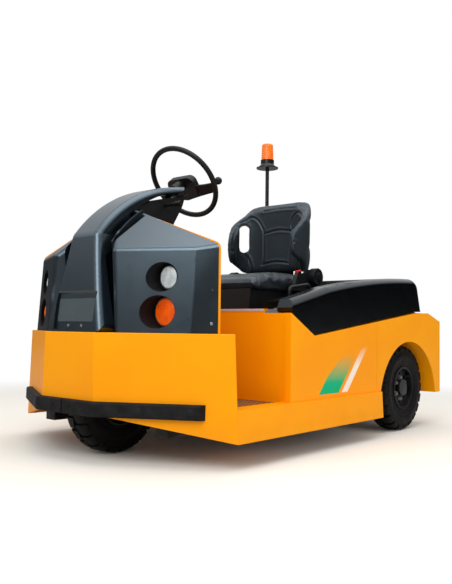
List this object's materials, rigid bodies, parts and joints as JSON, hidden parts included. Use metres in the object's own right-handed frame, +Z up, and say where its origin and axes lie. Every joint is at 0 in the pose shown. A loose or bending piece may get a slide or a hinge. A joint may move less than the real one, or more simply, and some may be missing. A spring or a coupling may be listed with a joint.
{
  "type": "electric tow tractor",
  "caption": "Seated electric tow tractor with a steered front wheel, nose skirt with rubber strips, hinged battery hood with the seat, warning beacon and stepped hitch.",
  "frame": {"origin": "centre of the overall box on the ground", "axes": "+X forward, +Y to the driver's left, +Z up"},
  "size_m": [2.0913, 1.234, 1.625],
  "materials": {
    "yellow_paint": "gloss",
    "black_cover": "gloss",
    "black_plastic": "satin",
    "black_paint": "satin",
    "bumper_rubber": "matte",
    "mat_rubber": "matte",
    "tyre_rubber": "matte",
    "seat_vinyl": "satin",
    "clear_lens": "gloss",
    "amber_lens": "gloss",
    "red_lens": "gloss",
    "bare_steel": "satin"
  },
  "bodies": {
    "root": {"apron": "yellow_paint", "bumper_strips": "bumper_rubber", "floor_panel": "yellow_paint", "floor_mat": "mat_rubber", "sill_left": "yellow_paint", "sill_right": "yellow_paint", "side_panel_left": "yellow_paint", "side_panel_right": "yellow_paint", "quarter_panel_left": "yellow_paint", "quarter_panel_right": "yellow_paint", "wheel_housing_left": "yellow_paint", "wheel_housing_right": "yellow_paint", "seat_wall": "yellow_paint", "tail_panel": "yellow_paint", "chassis_frame": "black_paint", "battery": "black_plastic", "drive_axle": "black_paint", "tow_hitch": "black_paint", "nose_wall": "yellow_paint", "wheel_well": "yellow_paint", "nose_cover": "black_cover", "headlamps": "clear_lens", "indicators": "amber_lens", "name_plate": "black_cover", "column_housing": "black_plastic", "steering_bearing": "bare_steel", "beacon_pole": "black_paint", "beacon_dome": "amber_lens", "pedals": "black_paint", "tail_lamps": "red_lens"},
    "hood": {"hood": "black_cover", "seat_base": "black_plastic", "seat_cushion": "seat_vinyl", "seat_back": "seat_vinyl", "seat_recliner": "black_plastic", "buckle": "black_plastic", "grab_loop": "black_plastic"},
    "fork": {"front_fork": "black_paint"},
    "front_wheel": {"front_tyre": "tyre_rubber", "front_rim": "black_paint"},
    "rear_wheel_left": {"rear_tyre_left": "tyre_rubber", "rear_rim_left": "black_paint"},
    "rear_wheel_right": {"rear_tyre_right": "tyre_rubber", "rear_rim_right": "black_paint"},
    "hand_wheel": {"hand_wheel": "black_plastic"}
  },
  "joints": [
    {"name": "steering", "type": "hinge", "parent": "root", "child": "fork", "pos_m": [0.792, 0, 0.43], "axis": [0, 0, 1], "range_deg": [-80, 80]},
    {"name": "front_wheel_spin", "type": "hinge", "parent": "fork", "child": "front_wheel", "pos_m": [0.792, 0, 0.2075], "axis": [0, 1, 0], "continuous": true},
    {"name": "rear_wheel_left_spin", "type": "hinge", "parent": "root", "child": "rear_wheel_left", "pos_m": [-0.588, 0.518, 0.2075], "axis": [0, 1, 0], "continuous": true},
    {"name": "rear_wheel_right_spin", "type": "hinge", "parent": "root", "child": "rear_wheel_right", "pos_m": [-0.588, -0.518, 0.2075], "axis": [0, 1, 0], "continuous": true},
    {"name": "hand_wheel_turn", "type": "hinge", "parent": "root", "child": "hand_wheel", "pos_m": [0.407, 0, 1.135], "axis": [-0.7826, 0, 0.6225], "range_deg": [-485, 485]},
    {"name": "hood_hinge", "type": "hinge", "parent": "root", "child": "hood", "pos_m": [-0.737, 0, 0.592], "axis": [0, -1, 0], "range_deg": [0, 50]}
  ],
  "couplings": [
    {"joint": "hand_wheel_turn", "follows": "steering", "ratio": 6}
  ]
}
